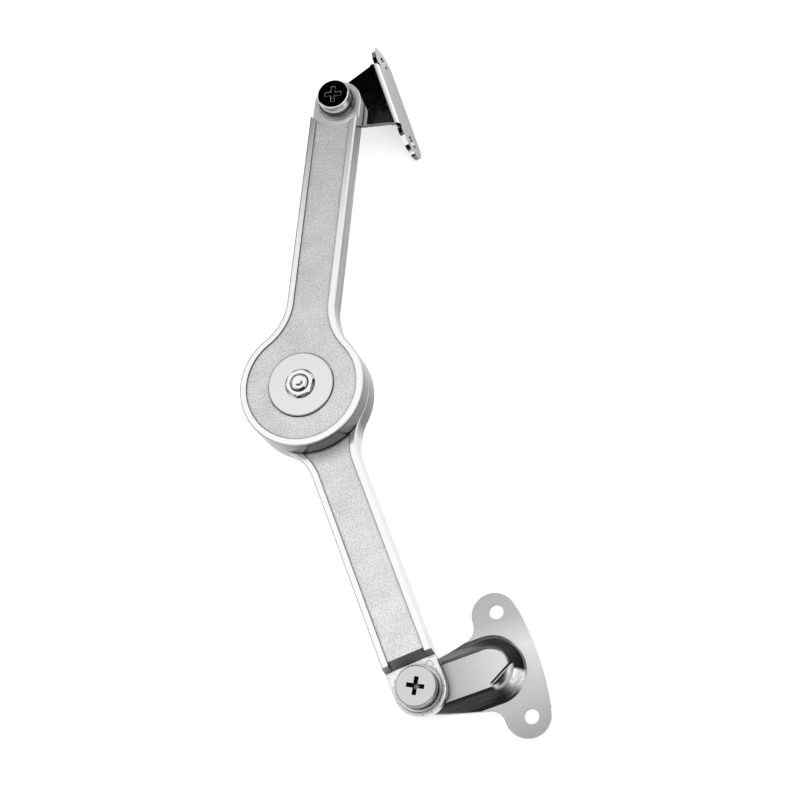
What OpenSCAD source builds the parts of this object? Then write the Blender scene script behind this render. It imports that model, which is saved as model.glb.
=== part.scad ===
// Friction lid stay: two die-cast arms joined by a braked elbow disc, with a stamped bracket at each end.
// Frame: Z runs along the three parallel pivots, Y along the hole lines of both bracket plates.
// The origin is midway between the cabinet bracket's holes, on the face that lies on the cabinet.
// Lengths are millimetres and angles are degrees.

/* [Pose] */
// Lean of the lower arm to the left of the hole line
lean_lower = 3; // [0:0.5:20]
// Lean of the upper arm to the right of the hole line
lean_upper = 23; // [10:0.5:40]

/* [Arms] */
// Distance between the two pivots of one arm
pivot_span = 100; // [90:1:130]
// Width of an arm
arm_w = 16; // [15:0.5:18]
// Thickness of an arm and its disc
arm_t = 7; // [6.5:0.5:9]
// Diameter of the elbow discs
disc_d = 40; // [38:1:46]
// Radius of the hollow that leads an arm into its disc
neck_r = 18; // [12:1:24]
// Width of the polished rim round the sanded field
rim_w = 2.2; // [1.5:0.1:3]
// Depth of the sanded field below the rim
field_depth = 0.45; // [0.2:0.05:0.7]
// Radius of the rounded front edges
edge_r = 0.6; // [0.3:0.1:1]
// Thickness of the upper arm's tongue
upper_tongue_t = 4.25; // [3.5:0.25:5]
// Thickness of the lower arm's tongue
lower_tongue_t = 3.5; // [3:0.25:5]
// Radius of the round step that clears the lid pivot screw
upper_step_r = 9.9; // [9:0.1:12]
// Distance from the cabinet pivot to the square step of the lower arm
lower_step = 9; // [8.5:0.5:12]
// Run of the sloping step at the rims
step_run = 1.2; // [0.6:0.1:1.2]
// How far the lower field stops short of the rims at the step
field_setback = 1.2; // [0.6:0.1:2]
// Thickness of the arms' back above the cored pockets
core_roof = 3.2; // [2.5:0.1:4.5]
// Wall beside the cored pockets
core_wall = 3; // [2:0.1:4]
// Number of cored pockets along an arm
core_count = 3; // [2:1:5]

/* [Elbow] */
// Thickness of each friction lining
lining_t = 1; // [0.8:0.1:1.4]
// Outer diameter of the linings
lining_d = 36; // [32:1:36]
// Inner diameter of the linings
lining_bore = 24; // [18:1:26]
// Thickness of the steel plate between the discs
plate_gap = 0.5; // [0.4:0.1:1]
// Diameter of the pressure washer on the front
pressure_d = 20.8; // [18:0.2:24]
// Height of the pressure washer above the rim
pressure_rise = 0.6; // [0.3:0.1:1]
// Thickness of the pressure washer
pressure_t = 2.4; // [2.2:0.1:3]
// Depth that the centre nut is sunk in the pressure washer
nut_pocket = 1.4; // [1:0.1:1.6]
// Height of the centre nut
centre_nut_h = 2.5; // [2:0.1:3]
// Outer diameter of the bush that both discs turn on
elbow_bush_d = 9; // [8.5:0.5:11]
// Diameter of the centre bolt's shank
bolt_d = 6; // [5:0.5:6]
// Thickness of one disc spring
spring_t = 0.9; // [0.7:0.1:1]
// Height that a disc spring's cone adds
spring_cone = 0.5; // [0.3:0.1:0.6]
// Outer diameter of the disc springs
spring_d = 18; // [16:1:22]
// Diameter of the centre bolt's head
bolt_head_d = 15; // [13:0.5:16]
// Height of the centre bolt's head
bolt_head_h = 3.4; // [3:0.1:3.6]

/* [End pivots] */
// Shoulder diameter of the pivot screws
shoulder_d = 6; // [5.6:0.1:6.4]
// Thread diameter of the pivot screws
thread_d = 5; // [4:0.5:5]
// Wall of the bushes pressed into the tongues
bush_wall = 1.2; // [0.8:0.1:1.5]
// Head diameter of the screw at the cabinet
cabinet_head_d = 12.2; // [11:0.2:12.6]
// Head diameter of the screw at the lid
lid_head_d = 10.8; // [10:0.2:11.4]
// Height of the screw heads
screw_head_h = 3.4; // [2.8:0.1:4]
// Diameter of the washer under the head at the cabinet
cabinet_washer_d = 13.8; // [13:0.2:14.2]
// Diameter of the washer under the head at the lid
lid_washer_d = 11.8; // [11.6:0.2:13]
// Thickness of the washers under the heads
head_washer_t = 1.2; // [0.8:0.1:1.5]
// Thickness of the split spring washers
split_washer_t = 1.2; // [0.8:0.1:1.5]
// Thickness of the thrust washers behind the tongues
thrust_t = 0.5; // [0.4:0.1:1]
// Width of a nut across its flats
nut_af = 8; // [8:0.5:8.5]
// Height of the pivot nuts
nut_h = 3.2; // [2.5:0.1:3.4]

/* [Brackets] */
// Thickness of the bracket sheet
sheet_t = 1.5; // [1.2:0.1:1.6]
// Length of both bracket plates
plate_l = 45; // [43:1:50]
// Distance between the two holes of a plate
hole_spacing = 33; // [30:1:33]
// Diameter of the mounting holes
hole_d = 4.6; // [3.5:0.1:5]
// Width of the cabinet plate at its ends
cabinet_plate_w = 13.8; // [13:0.2:15]
// Distance from the cabinet hole line to the pivot
nose_reach = 27.6; // [26:0.2:32]
// Height of the nose over the cabinet
nose_h = 8; // [7.5:0.5:10]
// Half width of the nose where its flat top meets the walls
nose_half = 6.1; // [6:0.1:6.8]
// Sideways run of the nose walls for each millimetre down
nose_flare = 0.55; // [0.5:0.01:0.6]
// Outer bend radius at the top edge of the nose
nose_edge_r = 2; // [1.8:0.1:2.4]
// Radius of the hollow where the nose meets the plate
nose_foot_r = 2.5; // [2:0.1:3]
// Distance from the lid pivot to the outside of the bend
lid_reach = 17; // [16:0.5:22]
// How far the lid plate is opened out from square to its ear
lid_lean = 11; // [0:0.5:14]
// Length of the bend between the lid ear and its plate
lid_bend_l = 24.4; // [22:0.2:25]
// Outer radius of that bend
lid_bend_r = 2.5; // [2.2:0.1:3]
// Radius of the lid ear's round end
lid_ear_r = 7; // [6.5:0.1:7.6]
// Radius of the lid plate's round ends
lid_end_r = 6.5; // [6:0.1:6.6]

/* [Fits] */
// Radial clearance of the turning fits
run_clear = 0.05; // [0.02:0.01:0.1]
// Radial clearance of parts that stand still in each other
still_clear = 0.1; // [0.05:0.05:0.2]

/* [Hidden] */
$fn = 96;
eps = 0.01;
beyond = 60;

// Heights of the stack, from the cabinet face up
lower_z = nose_h + thrust_t;
plate_z = lower_z + arm_t;
upper_z = plate_z + plate_gap;
front_z = upper_z + arm_t;
lid_ear_z = upper_z - thrust_t - sheet_t;
pressure_z = front_z + pressure_rise - pressure_t;
lower_tongue_z = lower_z + lower_tongue_t;
upper_tongue_z = upper_z + upper_tongue_t;

// Pivots in plan
cabinet_pivot = [-nose_reach, 0];
elbow = cabinet_pivot + pivot_span * [-sin(lean_lower), cos(lean_lower)];
lid_pivot = elbow + pivot_span * [sin(lean_upper), cos(lean_upper)];

// Elbow stack behind the lower disc, kept inside the depth between the disc and the cabinet face
centre_nut_z = front_z + pressure_rise - nut_pocket;
stud_rise = 0.4;
bolt_tip_z = centre_nut_z + centre_nut_h + stud_rise;
rear_washer_t = 1.4;
seat_washer_t = lower_z - bolt_head_h - rear_washer_t - 2 * (spring_t + spring_cone);
seat_z = lower_z - seat_washer_t;
inner_spring_z = seat_z - spring_t - spring_cone;
outer_spring_z = inner_spring_z - spring_t - spring_cone;
rear_washer_z = outer_spring_z - rear_washer_t;
spring_bore = bolt_d + 2.4;
front_thread_d = bolt_d - 0.8;
bush_bore = shoulder_d + 2 * run_clear;
bush_d = bush_bore + 2 * bush_wall;
seat_washer_d = spring_d + 3;
rear_washer_d = spring_d + 1;
friction_plate_d = disc_d - 0.8;

// End pivots: washers and the thread that stands out of its nut
thrust_d = arm_w - 3;
cabinet_split_d = cabinet_head_d - 0.8;
lid_split_d = lid_head_d - 0.6;
thread_rise = 0.8;

// Points of an arc about [x, y], from one angle to another
function arc(x, y, r, from, to, steps = 6) =
    [for (i = [0:steps]) let (a = from + (to - from) * i / steps) [x + r * cos(a), y + r * sin(a)]];

// Ring about Z with a plain bore
module ring(outer_d, bore_d, h) {
    difference() {
        cylinder(d = outer_d, h = h);
        translate([0, 0, -eps]) cylinder(d = bore_d, h = h + 2 * eps);
    }
}

// Hexagon nut with both faces chamfered
module nut(flats, bore_d, h) {
    corner_r = flats / 2 / cos(30);
    chamfer = 0.5;
    difference() {
        intersection() {
            cylinder(r = corner_r, h = h, $fn = 6);
            rotate_extrude()
                polygon([[0, 0], [corner_r - chamfer, 0], [corner_r, chamfer * 0.6],
                    [corner_r, h - chamfer * 0.6], [corner_r - chamfer, h], [0, h]]);
        }
        translate([0, 0, -eps]) cylinder(d = bore_d, h = h + 2 * eps);
        translate([0, 0, h - chamfer])
            cylinder(d1 = bore_d - 2 * eps, d2 = bore_d + 2 * chamfer, h = chamfer + eps);
    }
}

// Disc with a rounded front edge
module disc_solid(r, h, round_r) {
    edge = arc(r - round_r, h - round_r, round_r, 0, 90);
    rotate_extrude() polygon(concat([[0, 0], [r, 0]], edge, [[0, h]]));
}

// Straight bar along +Y with rounded front edges
module bar_solid(w, l, h, round_r) {
    edge = arc(w / 2 - round_r, h - round_r, round_r, 0, 90);
    mirrored = [for (i = [len(edge) - 1:-1:0]) [-edge[i][0], edge[i][1]]];
    translate([0, l, 0]) rotate([90, 0, 0]) linear_extrude(height = l)
        polygon(concat([[-w / 2, 0], [w / 2, 0]], edge, mirrored));
}

// How far round outlines lap over the straight ones they run into, so that they cross cleanly
lap = 0.03;

// Centre of the neck's hollow
neck_centre_x = arm_w / 2 + neck_r - lap;
neck_centre_y = sqrt(pow(disc_d / 2 + neck_r - lap, 2) - pow(neck_centre_x, 2));

// Web between arm and disc before its hollows are cut
module neck_web() {
    polygon([[0, 0], [neck_centre_x, neck_centre_y], [-neck_centre_x, neck_centre_y]]);
}

// Neck of the arm: a web whose two hollows keep the rounded front edge
module neck_solid() {
    profile = concat([[0, -eps], [neck_r, -eps]],
        [for (a = [0:15:90]) [neck_r + edge_r * (1 - cos(a)), arm_t - edge_r * (1 - sin(a))]],
        [[neck_r + edge_r, arm_t + eps], [0, arm_t + eps]]);
    difference() {
        linear_extrude(height = arm_t) neck_web();
        for (side = [-1, 1]) translate([side * neck_centre_x, neck_centre_y, 0])
            rotate_extrude() polygon(profile);
    }
}

// Plan of the sanded field: disc, neck and bar, all one rim inside the outline
module field_plan(bar_end) {
    circle(r = disc_d / 2 - rim_w);
    difference() {
        neck_web();
        for (side = [-1, 1]) translate([side * neck_centre_x, neck_centre_y]) circle(r = neck_r + rim_w);
    }
    translate([-arm_w / 2 + rim_w, 0]) square([arm_w - 2 * rim_w, bar_end]);
}

// Rectangle with four round corners, its first corner at the origin
module round_rect(w, l, r) {
    translate([r, 0]) square([w - 2 * r, l]);
    translate([0, r]) square([w, l - 2 * r]);
    for (x = [r, w - r], y = [r, l - r]) translate([x, y]) circle(r = r);
}

// Pockets cored out of an arm's back, with ribs between them
module core_pockets() {
    solid_tip = 17;
    from_y = disc_d / 2 + neck_r * 0.75;
    to_y = pivot_span - solid_tip;
    rib = 1.6;
    pocket_w = arm_w - 2 * core_wall;
    pocket_l = (to_y - from_y - rib * (core_count - 1)) / core_count;
    for (i = [0:core_count - 1]) translate([-pocket_w / 2, from_y + i * (pocket_l + rib), -eps])
        linear_extrude(height = arm_t - core_roof + eps) round_rect(pocket_w, pocket_l, 2);
}

// Thick part of an arm along +Y up to bar_end, with its sunken field
module arm_casting(bar_end, field_end) {
    difference() {
        union() {
            disc_solid(disc_d / 2, arm_t, edge_r);
            neck_solid();
            bar_solid(arm_w, bar_end, arm_t, edge_r);
        }
        translate([0, 0, arm_t - field_depth])
            linear_extrude(height = field_depth + eps) field_plan(field_end);
        core_pockets();
    }
}

// Full-round tongue that reaches back into the thick part
module tongue(h) {
    tongue_l = 20;
    tongue_edge = 0.4;
    translate([0, pivot_span - tongue_l, 0]) bar_solid(arm_w, tongue_l, h, tongue_edge);
    translate([0, pivot_span, 0]) disc_solid(arm_w / 2, h, tongue_edge);
}

// Pan-head shoulder screw: z = 0 is the shoulder's seat, the thread points down
module shoulder_screw(head_d, shoulder_l, thread_l, recess_turn) {
    head_edge = 0.5;
    recess_w = 1.3;
    recess_l = 5.4;
    recess_depth = 2;
    point = 0.5;
    difference() {
        union() {
            translate([0, 0, shoulder_l]) disc_solid(head_d / 2, screw_head_h, head_edge);
            cylinder(d = shoulder_d, h = shoulder_l + eps);
            translate([0, 0, -thread_l + point]) cylinder(d = thread_d, h = thread_l - point + eps);
            translate([0, 0, -thread_l]) cylinder(d1 = thread_d - 2 * point, d2 = thread_d, h = point);
        }
        for (turn = [0, 90]) rotate([0, 0, recess_turn + turn])
            translate([-recess_l / 2, -recess_w / 2, shoulder_l + screw_head_h - recess_depth])
                cube([recess_l, recess_w, recess_depth + eps]);
    }
}

// Split spring washer
module split_washer(outer_d, bore_d) {
    slit = 0.9;
    difference() {
        ring(outer_d, bore_d, split_washer_t);
        rotate([0, 0, 30]) translate([0, -slit / 2, -eps])
            cube([outer_d, slit, split_washer_t + 2 * eps]);
    }
}

// Cone-shaped disc spring, its wide end down
module disc_spring() {
    half_in = spring_bore / 2;
    half_out = spring_d / 2;
    rotate_extrude() polygon([[half_in, spring_cone], [half_out, 0], [half_out, spring_t],
        [half_in, spring_t + spring_cone]]);
}

// Half section of the drawn nose; inset is 0 for the outside and the sheet thickness for the inside
function nose_section(inset) =
    let (wall_angle = atan(1 / nose_flare),
        run = sqrt(1 + nose_flare * nose_flare),
        top = nose_h - inset,
        edge = nose_edge_r - inset,
        foot = nose_foot_r + inset,
        // Bend centre: below the top face and inside the wall by the outer bend radius
        edge_z = nose_h - nose_edge_r,
        edge_x = nose_half + nose_flare * nose_edge_r - nose_edge_r * run,
        // Hollow centre: above the plate's top face and outside the wall by the foot radius
        foot_z = sheet_t + nose_foot_r,
        foot_x = nose_half + nose_flare * (nose_h - foot_z) + nose_foot_r * run)
    concat([[0, top]],
        arc(edge_x, edge_z, edge, 90, 90 - wall_angle),
        arc(foot_x, foot_z, foot, 270 - wall_angle, 270),
        [[foot_x, -eps], [0, -eps]]);

// Drawn nose with round ends over the pivot and on the plate
module nose_solid(inset) {
    plate_end = [-6.6, 0];
    half = nose_section(inset);
    for (centre = [plate_end, cabinet_pivot]) translate([centre[0], centre[1], 0])
        rotate_extrude() polygon(half);
    mirrored = [for (p = half) [-p[0], p[1]]];
    for (side = [half, mirrored]) translate([cabinet_pivot[0], 0, 0]) rotate([90, 0, 90])
        linear_extrude(height = plate_end[0] - cabinet_pivot[0]) polygon(side);
}

// Plan of the cabinet bracket: two round ends, a bulging front edge and a waist on each side of the nose
cabinet_end_x = -0.9;
cabinet_end_y = plate_l / 2 - cabinet_plate_w / 2;
nose_end_r = 6.5;
module cabinet_plan() {
    end_r = cabinet_plate_w / 2;
    bulge_r = 90;
    bulge_rise = 0.3;
    bulge_x = cabinet_end_x + end_r + bulge_rise - sqrt(pow(bulge_r, 2) - pow(cabinet_end_y, 2));
    waist_r = 4.6;
    waist_drop = 0.2;
    waist = [cabinet_end_x - end_r - waist_r, cabinet_end_y - waist_drop];
    // The nose's flank runs from its round end to the waist and touches both
    flank_angle = atan2(waist[1], waist[0] + nose_reach)
        - asin((nose_end_r + waist_r - 2 * lap) / norm(waist - cabinet_pivot));
    outward = [-sin(flank_angle), cos(flank_angle)];
    flank = [[0, waist[1]], [waist[0], waist[1]], waist - (waist_r - lap) * outward,
        cabinet_pivot + (nose_end_r - lap) * outward];
    for (side = [-1, 1]) translate([cabinet_end_x, side * cabinet_end_y]) circle(r = end_r);
    intersection() {
        translate([cabinet_end_x - end_r, -cabinet_end_y]) square([beyond, 2 * cabinet_end_y]);
        translate([bulge_x, 0]) circle(r = bulge_r, $fn = 360);
    }
    difference() {
        polygon(concat(flank, [for (i = [3:-1:0]) [flank[i][0], -flank[i][1]]]));
        for (side = [-1, 1]) translate([waist[0], side * waist[1]]) circle(r = waist_r);
    }
    translate(cabinet_pivot) circle(r = nose_end_r);
}

module cabinet_bracket() {
    sheet_start_x = -12;
    color("silver") difference() {
        intersection() {
            union() {
                nose_solid(0);
                translate([sheet_start_x, -beyond / 2, 0]) cube([beyond, beyond, sheet_t]);
            }
            translate([0, 0, -eps]) linear_extrude(height = nose_h + 2 * eps) cabinet_plan();
        }
        nose_solid(sheet_t);
        for (side = [-1, 1]) translate([0, side * hole_spacing / 2, -eps])
            cylinder(d = hole_d, h = sheet_t + 2 * eps);
        translate([cabinet_pivot[0], 0, nose_h - sheet_t - eps])
            cylinder(d = thread_d + 2 * still_clear, h = sheet_t + 2 * eps);
    }
}

module cabinet_pivot_nut() {
    color("silver") translate([cabinet_pivot[0], 0, nose_h - sheet_t - nut_h]) nut(nut_af, thread_d, nut_h);
}

module cabinet_thrust_washer() {
    color("white") translate([cabinet_pivot[0], 0, nose_h])
        ring(thrust_d, shoulder_d + 2 * still_clear, thrust_t);
}

module cabinet_head_washer() {
    color("silver") translate([cabinet_pivot[0], 0, lower_tongue_z])
        ring(cabinet_washer_d, shoulder_d + 2 * still_clear, head_washer_t);
}

module cabinet_split_washer() {
    color("dimgray") translate([cabinet_pivot[0], 0, lower_tongue_z + head_washer_t])
        split_washer(cabinet_split_d, shoulder_d + 2 * still_clear);
}

module cabinet_pivot_screw() {
    shoulder_l = thrust_t + lower_tongue_t + head_washer_t + split_washer_t;
    thread_l = sheet_t + nut_h + thread_rise;
    recess_turn = 63;
    color("gainsboro") translate([cabinet_pivot[0], 0, nose_h])
        shoulder_screw(cabinet_head_d, shoulder_l, thread_l, recess_turn);
}

// What the sloping step takes off: from [top_y, top_z] down to the tongue at foot_y, over a width w
module step_cut(top_y, foot_y, top_z, w) {
    translate([-w / 2, 0, 0]) rotate([90, 0, 90]) linear_extrude(height = w)
        polygon([[top_y, top_z], [foot_y, lower_tongue_t], [foot_y + 1, lower_tongue_t],
            [foot_y + 1, arm_t + 1], [top_y, arm_t + 1]]);
}

// Groove that a friction lining lies in
module lining_seat() {
    ring(lining_d + 2 * still_clear, lining_bore - 2 * still_clear, arm_t);
}

module lower_arm() {
    step_top = pivot_span - lower_step;
    bar_end = step_top + step_run;
    ejector_d = 2.4;
    ejector_depth = 0.2;
    ejector = [-5.2, pivot_span - 5.6, lower_tongue_t - ejector_depth];
    turn = 180 + lean_lower;
    color("lightgray") translate([elbow[0], elbow[1], lower_z]) rotate([0, 0, turn]) difference() {
        union() {
            difference() {
                arm_casting(bar_end, bar_end + eps);
                step_cut(step_top, bar_end, arm_t, arm_w + 2);
                step_cut(step_top - field_setback, bar_end, arm_t - field_depth, arm_w - 2 * rim_w);
            }
            tongue(lower_tongue_t);
        }
        translate([0, 0, -eps]) cylinder(d = elbow_bush_d, h = arm_t + 2 * eps);
        translate([0, pivot_span, -eps]) cylinder(d = bush_d, h = arm_t);
        translate([0, 0, arm_t - lining_t]) lining_seat();
        translate(ejector) cylinder(d = ejector_d, h = arm_t);
    }
}

module cabinet_pivot_bush() {
    color("goldenrod") translate([cabinet_pivot[0], 0, lower_z]) ring(bush_d, bush_bore, lower_tongue_t);
}

module lower_lining() {
    color("saddlebrown") translate([elbow[0], elbow[1], plate_z - lining_t])
        ring(lining_d, lining_bore, lining_t);
}

module friction_plate() {
    color("silver") translate([elbow[0], elbow[1], plate_z])
        ring(friction_plate_d, elbow_bush_d + 2 * still_clear, plate_gap);
}

module elbow_bush() {
    color("goldenrod") translate([elbow[0], elbow[1], lower_z])
        ring(elbow_bush_d, bolt_d + 2 * still_clear, pressure_z - lower_z);
}

module seat_washer() {
    color("silver") translate([elbow[0], elbow[1], seat_z])
        ring(seat_washer_d, bolt_d + 2 * still_clear, seat_washer_t);
}

module inner_disc_spring() {
    color("dimgray") translate([elbow[0], elbow[1], seat_z]) mirror([0, 0, 1]) disc_spring();
}

module outer_disc_spring() {
    color("dimgray") translate([elbow[0], elbow[1], outer_spring_z]) disc_spring();
}

module rear_washer() {
    color("silver") translate([elbow[0], elbow[1], rear_washer_z])
        ring(rear_washer_d, bolt_d + 2 * still_clear, rear_washer_t);
}

// Centre bolt: round head with a hexagon socket behind, thinner thread and a dimple in front
module centre_bolt() {
    socket_af = 6;
    socket_depth = 2;
    relief = 0.2;
    thread_z = centre_nut_z - relief;
    tip = 0.5;
    head_edge = 0.8;
    dimple_d = 2.6;
    dimple_depth = 0.25;
    color("silver") translate([elbow[0], elbow[1], 0]) difference() {
        union() {
            translate([0, 0, bolt_head_h]) mirror([0, 0, 1])
                disc_solid(bolt_head_d / 2, bolt_head_h, head_edge);
            cylinder(d = bolt_d, h = thread_z);
            cylinder(d = front_thread_d, h = bolt_tip_z - tip);
            translate([0, 0, bolt_tip_z - tip])
                cylinder(d1 = front_thread_d, d2 = front_thread_d - 2 * tip, h = tip);
        }
        translate([0, 0, -eps]) cylinder(r = socket_af / 2 / cos(30), h = socket_depth + eps, $fn = 6);
        translate([0, 0, bolt_tip_z - dimple_depth])
            cylinder(d1 = dimple_d / 3, d2 = dimple_d, h = dimple_depth + eps);
    }
}

module pressure_washer() {
    washer_edge = 0.4;
    color("white") translate([elbow[0], elbow[1], pressure_z]) difference() {
        disc_solid(pressure_d / 2, pressure_t, washer_edge);
        translate([0, 0, -eps]) cylinder(d = bolt_d + 2 * still_clear, h = pressure_t + 2 * eps);
        translate([0, 0, pressure_t - nut_pocket])
            cylinder(d = nut_af / cos(30) + 4 * still_clear, h = nut_pocket + eps);
    }
}

module centre_nut() {
    color("silver") translate([elbow[0], elbow[1], centre_nut_z]) nut(nut_af, front_thread_d, centre_nut_h);
}

module upper_arm() {
    bar_end = pivot_span - sqrt(pow(upper_step_r, 2) - pow(arm_w / 2, 2)) + lap;
    color("lightgray") translate([elbow[0], elbow[1], upper_z]) rotate([0, 0, -lean_upper]) difference() {
        union() {
            difference() {
                arm_casting(bar_end, bar_end);
                translate([0, pivot_span, upper_tongue_t]) cylinder(r = upper_step_r, h = arm_t);
            }
            tongue(upper_tongue_t);
        }
        translate([0, 0, -eps]) cylinder(d = elbow_bush_d + 2 * run_clear, h = arm_t + 2 * eps);
        translate([0, 0, pressure_z - upper_z]) cylinder(d = pressure_d + 4 * still_clear, h = arm_t);
        translate([0, pivot_span, -eps]) cylinder(d = bush_d, h = arm_t);
        translate([0, 0, -arm_t + lining_t]) lining_seat();
    }
}

module upper_lining() {
    color("saddlebrown") translate([elbow[0], elbow[1], upper_z]) ring(lining_d, lining_bore, lining_t);
}

module lid_pivot_bush() {
    color("goldenrod") translate([lid_pivot[0], lid_pivot[1], upper_z])
        ring(bush_d, bush_bore, upper_tongue_t);
}

// Ear of the lid bracket: a round end and two straight edges that run a little way into the bend
module lid_ear_plan() {
    into_bend = 0.4;
    side_inset = 0.2;
    corner = [lid_bend_x + into_bend, lid_bend_l / 2 - side_inset];
    reach = norm(corner);
    touch_r = lid_ear_r - lap;
    touch_angle = atan2(corner[1], corner[0]) + acos(touch_r / reach);
    touch = touch_r * [cos(touch_angle), sin(touch_angle)];
    circle(r = lid_ear_r);
    polygon([touch, corner, [corner[0], -corner[1]], [touch[0], -touch[1]]]);
}

// Bend centre of the lid bracket, measured from the lid pivot and from the cabinet face
lid_bend_x = lid_reach - lid_bend_r;
lid_bend_z = lid_ear_z + sheet_t - lid_bend_r;
// Length of the lid plate from its back edge, which is level with the cabinet face, to the bend
lid_plate_h = (lid_bend_z + (lid_bend_r - sheet_t) * sin(lid_lean)) / cos(lid_lean);

// Section of the lid bracket across its bend: ear, bend and plate in one strip of sheet
module lid_section() {
    along = [sin(lid_lean), -cos(lid_lean)];
    outward = [cos(lid_lean), sin(lid_lean)];
    centre = [lid_bend_x, lid_bend_z];
    inner_r = lid_bend_r - sheet_t;
    polygon(concat([[-beyond, lid_ear_z + sheet_t]],
        arc(centre[0], centre[1], lid_bend_r, 90, lid_lean, 9),
        [for (r = [lid_bend_r, inner_r]) centre + r * outward + lid_plate_h * along],
        arc(centre[0], centre[1], inner_r, lid_lean, 90, 9),
        [[-beyond, lid_ear_z]]));
}

// Plate of the lid bracket laid flat: long direction across, back edge at y = 0, bend on top
module lid_plate_plan() {
    shoulder_h = 2 * lid_end_r + 0.6;
    relief_w = 1;
    relief_h = 1.2;
    difference() {
        union() {
            for (side = [-1, 1]) translate([side * (plate_l / 2 - lid_end_r), lid_end_r - lap])
                circle(r = lid_end_r);
            translate([-plate_l / 2 + lid_end_r, -1]) square([plate_l - 2 * lid_end_r, shoulder_h + 1]);
            translate([-lid_bend_l / 2, 0]) square([lid_bend_l, beyond]);
        }
        for (side = [-1, 1])
            translate([side * (lid_bend_l + relief_w) / 2 - relief_w / 2, lid_plate_h - relief_h])
                square([relief_w, beyond]);
        for (side = [-1, 1]) translate([side * hole_spacing / 2, lid_end_r]) circle(d = hole_d);
    }
}

module lid_bracket() {
    color("silver") translate([lid_pivot[0], lid_pivot[1], 0]) difference() {
        intersection() {
            translate([0, plate_l / 2 + 1, 0]) rotate([90, 0, 0])
                linear_extrude(height = plate_l + 2) lid_section();
            union() {
                translate([0, 0, lid_ear_z - 1]) linear_extrude(height = sheet_t + 2) lid_ear_plan();
                translate([lid_bend_x, 0, lid_bend_z]) rotate([0, -lid_lean, 0])
                    translate([0, 0, -lid_plate_h]) rotate([90, 0, 90])
                        linear_extrude(height = lid_bend_r + 1) lid_plate_plan();
            }
        }
        translate([0, 0, lid_ear_z - eps])
            cylinder(d = thread_d + 2 * still_clear, h = sheet_t + 2 * eps);
    }
}

module lid_pivot_nut() {
    color("silver") translate([lid_pivot[0], lid_pivot[1], lid_ear_z - nut_h]) nut(nut_af, thread_d, nut_h);
}

module lid_thrust_washer() {
    color("white") translate([lid_pivot[0], lid_pivot[1], lid_ear_z + sheet_t])
        ring(thrust_d, shoulder_d + 2 * still_clear, thrust_t);
}

module lid_head_washer() {
    color("silver") translate([lid_pivot[0], lid_pivot[1], upper_tongue_z])
        ring(lid_washer_d, shoulder_d + 2 * still_clear, head_washer_t);
}

module lid_split_washer() {
    color("dimgray") translate([lid_pivot[0], lid_pivot[1], upper_tongue_z + head_washer_t])
        split_washer(lid_split_d, shoulder_d + 2 * still_clear);
}

module lid_pivot_screw() {
    shoulder_l = thrust_t + upper_tongue_t + head_washer_t + split_washer_t;
    thread_l = sheet_t + nut_h + thread_rise;
    recess_turn = 71;
    color("gainsboro") translate([lid_pivot[0], lid_pivot[1], lid_ear_z + sheet_t])
        shoulder_screw(lid_head_d, shoulder_l, thread_l, recess_turn);
}

cabinet_bracket();
cabinet_pivot_nut();
cabinet_thrust_washer();
cabinet_head_washer();
cabinet_split_washer();
cabinet_pivot_screw();
lower_arm();
cabinet_pivot_bush();
lower_lining();
friction_plate();
elbow_bush();
seat_washer();
inner_disc_spring();
outer_disc_spring();
rear_washer();
centre_bolt();
pressure_washer();
centre_nut();
upper_arm();
upper_lining();
lid_pivot_bush();
lid_bracket();
lid_pivot_nut();
lid_thrust_washer();
lid_head_washer();
lid_split_washer();
lid_pivot_screw();
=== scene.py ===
# %% [markdown]
# # A folding lid stay, dressed for its photograph
# A lid stay holds the lid of a chest open. Two cast zinc arms meet in a braked elbow disc, and a
# bracket of bright-plated sheet at each end takes the wood screws. The model arrives finished in
# shape, so this lesson is about what gives small hardware its look: plating, sanded fields, polished
# rims, tool marks, screw threads, and a lamp that a mirror can reflect.

# %% Load the part
import math

import bmesh
import bpy
from mathutils import Matrix, Vector


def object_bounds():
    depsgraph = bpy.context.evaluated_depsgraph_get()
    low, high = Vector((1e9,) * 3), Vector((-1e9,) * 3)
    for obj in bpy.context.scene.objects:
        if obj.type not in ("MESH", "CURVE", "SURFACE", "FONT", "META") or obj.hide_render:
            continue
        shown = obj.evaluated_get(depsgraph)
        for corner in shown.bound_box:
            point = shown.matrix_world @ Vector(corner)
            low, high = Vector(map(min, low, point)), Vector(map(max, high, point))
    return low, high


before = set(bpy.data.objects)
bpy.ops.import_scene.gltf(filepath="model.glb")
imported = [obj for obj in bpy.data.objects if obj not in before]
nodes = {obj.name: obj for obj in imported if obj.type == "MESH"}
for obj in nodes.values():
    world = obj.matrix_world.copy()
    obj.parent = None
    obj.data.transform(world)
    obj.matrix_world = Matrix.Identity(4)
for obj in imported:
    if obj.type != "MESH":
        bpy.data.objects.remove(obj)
cad_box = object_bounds()
MM = 0.001

# %% [markdown]
# ## The camera
# The photograph looks down on the stay from beyond its lower end, a little to the right, and rolled
# so that the stay leans to the left. A view matrix needs three things: where the lens is, where it
# looks, and which way is up. Written as a matrix they can't drift apart, which angles can.

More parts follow.
